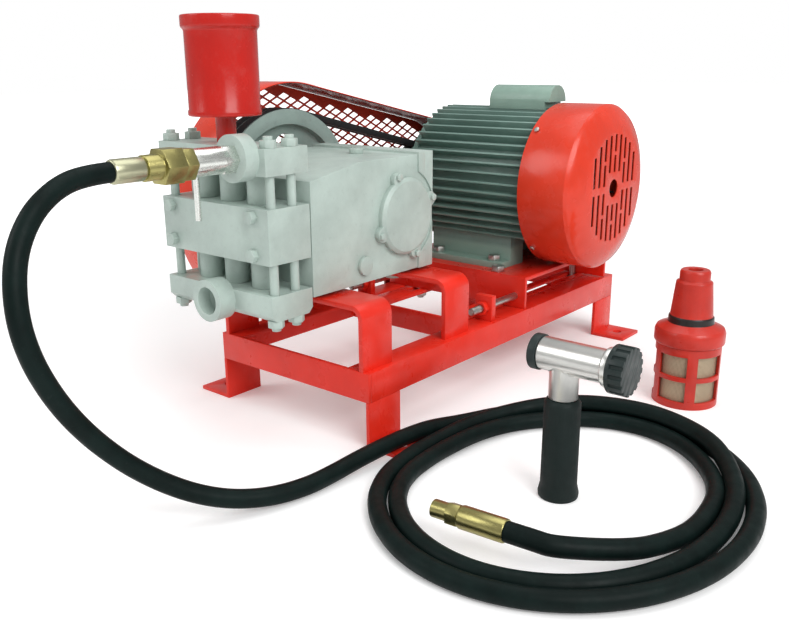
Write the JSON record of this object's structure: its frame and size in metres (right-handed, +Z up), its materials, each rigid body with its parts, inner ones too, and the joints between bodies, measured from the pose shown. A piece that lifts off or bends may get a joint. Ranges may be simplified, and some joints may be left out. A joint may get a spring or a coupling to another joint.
{
  "type": "portable fire pump",
  "caption": "Belt-driven triplex plunger pump with electric motor on a welded angle frame, with discharge hose, spray gun and suction strainer.",
  "frame": {"origin": "centre of the four foot bolt holes, on the floor plane", "axes": "+Z up; +Y from the pump to the motor along the frame; +X along the shafts towards the fan cover"},
  "size_m": [0.7205, 0.9513, 0.469],
  "materials": {
    "frame_red": "gloss red paint",
    "cover_red": "gloss red paint on sheet",
    "chamber_red": "dark red paint",
    "mesh_red": "red paint on expanded metal",
    "pump_grey": "light grey paint on cast iron",
    "box_grey": "grey paint",
    "motor_green": "grey-green paint on ribbed casting",
    "zinc_steel": "zinc plated fasteners",
    "bright_steel": "machined steel",
    "pulley_iron": "turned cast iron",
    "packing_rubber": "moulded rubber rings",
    "belt_rubber": "fabric-wrapped rubber",
    "hose_rubber": "smooth black rubber cover",
    "grip_rubber": "moulded black rubber",
    "black_plastic": "moulded black plastic",
    "valve_chrome": "plated",
    "gun_chrome": "satin plated",
    "brass": "machined brass",
    "strainer_plastic": "moulded red plastic",
    "strainer_gauze": "fine woven gauze"
  },
  "bodies": {
    "frame": {"air_chamber": "chamber_red", "bearing_covers": "pump_grey", "belt_guard_band": "cover_red", "belt_guard_mesh": "mesh_red", "crank_bearings": "bright_steel", "crankcase": "pump_grey", "crossbars": "frame_red", "cylinder_block": "pump_grey", "discharge_manifold": "pump_grey", "discharge_springs": "bright_steel", "gun_body": "gun_chrome", "gun_grip": "grip_rubber", "gun_nozzle_cap": "black_plastic", "hose_coil": "hose_rubber", "hose_end_fitting": "brass", "hose_ferrule": "brass", "hose_run": "hose_rubber", "legs": "frame_red", "outlet_fittings": "brass", "outlet_valve_body": "valve_chrome", "plunger_packing": "packing_rubber", "pump_bolts": "pump_grey", "pump_brackets": "frame_red", "rear_cover": "pump_grey", "side_rails": "frame_red", "slide_bars": "frame_red", "stay_studs": "pump_grey", "strainer_cage": "strainer_plastic", "strainer_head": "strainer_plastic", "strainer_mesh": "strainer_gauze", "suction_manifold": "pump_grey", "suction_springs": "bright_steel", "tension_lugs": "frame_red", "v_belts": "belt_rubber", "valve_cages": "pump_grey"},
    "crank": {"crankshaft": "bright_steel", "pump_pulley": "pulley_iron"},
    "rod_1": {"connecting_rod_1": "bright_steel"},
    "rod_2": {"connecting_rod_2": "bright_steel"},
    "rod_3": {"connecting_rod_3": "bright_steel"},
    "piston_1": {"plunger_1": "bright_steel"},
    "piston_2": {"plunger_2": "bright_steel"},
    "piston_3": {"plunger_3": "bright_steel"},
    "motor": {"motor_base": "frame_red", "motor_frame": "motor_green", "motor_end_shields": "motor_green", "stator": "bright_steel", "motor_bearings": "bright_steel", "fan_cover": "cover_red", "terminal_box": "box_grey", "motor_bolts": "zinc_steel", "tension_screws": "zinc_steel"},
    "rotor": {"rotor_shaft": "bright_steel", "cooling_fan": "black_plastic", "motor_pulley": "pulley_iron"},
    "suction_discs": {"suction_valve_discs": "bright_steel"},
    "discharge_discs": {"discharge_valve_discs": "bright_steel"},
    "valve_lever": {"outlet_valve_lever": "valve_chrome"},
    "filler_cap": {"oil_filler_cap": "pump_grey"},
    "knob": {"gun_knob": "black_plastic"}
  },
  "joints": [
    {"name": "crank_spin", "type": "hinge", "parent": "frame", "child": "crank", "pos_m": [0, -0.154, 0.24], "axis": [1, 0, 0], "continuous": true},
    {"name": "rod_1_pivot", "type": "hinge", "parent": "crank", "child": "rod_1", "pos_m": [-0.076, -0.16, 0.24], "axis": [1, 0, 0], "continuous": true},
    {"name": "piston_1_stroke", "type": "slide", "parent": "frame", "child": "piston_1", "axis": [0, 1, 0], "range_m": [0, 0.012]},
    {"name": "rod_2_pivot", "type": "hinge", "parent": "crank", "child": "rod_2", "pos_m": [-0.031, -0.151, 0.2452], "axis": [1, 0, 0], "continuous": true},
    {"name": "piston_2_stroke", "type": "slide", "parent": "frame", "child": "piston_2", "axis": [0, 1, 0], "range_m": [-0.009, 0.003]},
    {"name": "rod_3_pivot", "type": "hinge", "parent": "crank", "child": "rod_3", "pos_m": [0.014, -0.151, 0.2348], "axis": [1, 0, 0], "continuous": true},
    {"name": "piston_3_stroke", "type": "slide", "parent": "frame", "child": "piston_3", "axis": [0, 1, 0], "range_m": [-0.009, 0.003]},
    {"name": "motor_tension", "type": "slide", "parent": "frame", "child": "motor", "axis": [0, 1, 0], "range_m": [-0.02, 0]},
    {"name": "rotor_spin", "type": "hinge", "parent": "motor", "child": "rotor", "pos_m": [0, 0.152, 0.25], "axis": [1, 0, 0], "continuous": true},
    {"name": "suction_lift", "type": "slide", "parent": "frame", "child": "suction_discs", "axis": [0, 0, 1], "range_m": [0, 0.004], "stiffness_N_per_m": 400, "springref_m": -0.002, "deforming": ["suction_springs"]},
    {"name": "discharge_lift", "type": "slide", "parent": "frame", "child": "discharge_discs", "axis": [0, 0, 1], "range_m": [0, 0.004], "stiffness_N_per_m": 400, "springref_m": -0.002, "deforming": ["discharge_springs"]},
    {"name": "lever_turn", "type": "hinge", "parent": "frame", "child": "valve_lever", "pos_m": [0.025, -0.418, 0.327], "axis": [-1, 0, 0], "range_deg": [0, 90]},
    {"name": "filler_cap_pull", "type": "slide", "parent": "frame", "child": "filler_cap", "axis": [0, 0, 1], "range_m": [0, 0.02]},
    {"name": "knob_turn", "type": "hinge", "parent": "frame", "child": "knob", "pos_m": [0.342, -0.257, 0.147], "axis": [1, 0, 0], "range_deg": [0, 360]}
  ],
  "couplings": [
    {"joint": "rod_1_pivot", "follows": "crank_spin", "ratio": -1},
    {"joint": "rod_2_pivot", "follows": "crank_spin", "ratio": -1},
    {"joint": "rod_3_pivot", "follows": "crank_spin", "ratio": -1},
    {"joint": "rotor_spin", "follows": "crank_spin", "ratio": 3}
  ]
}
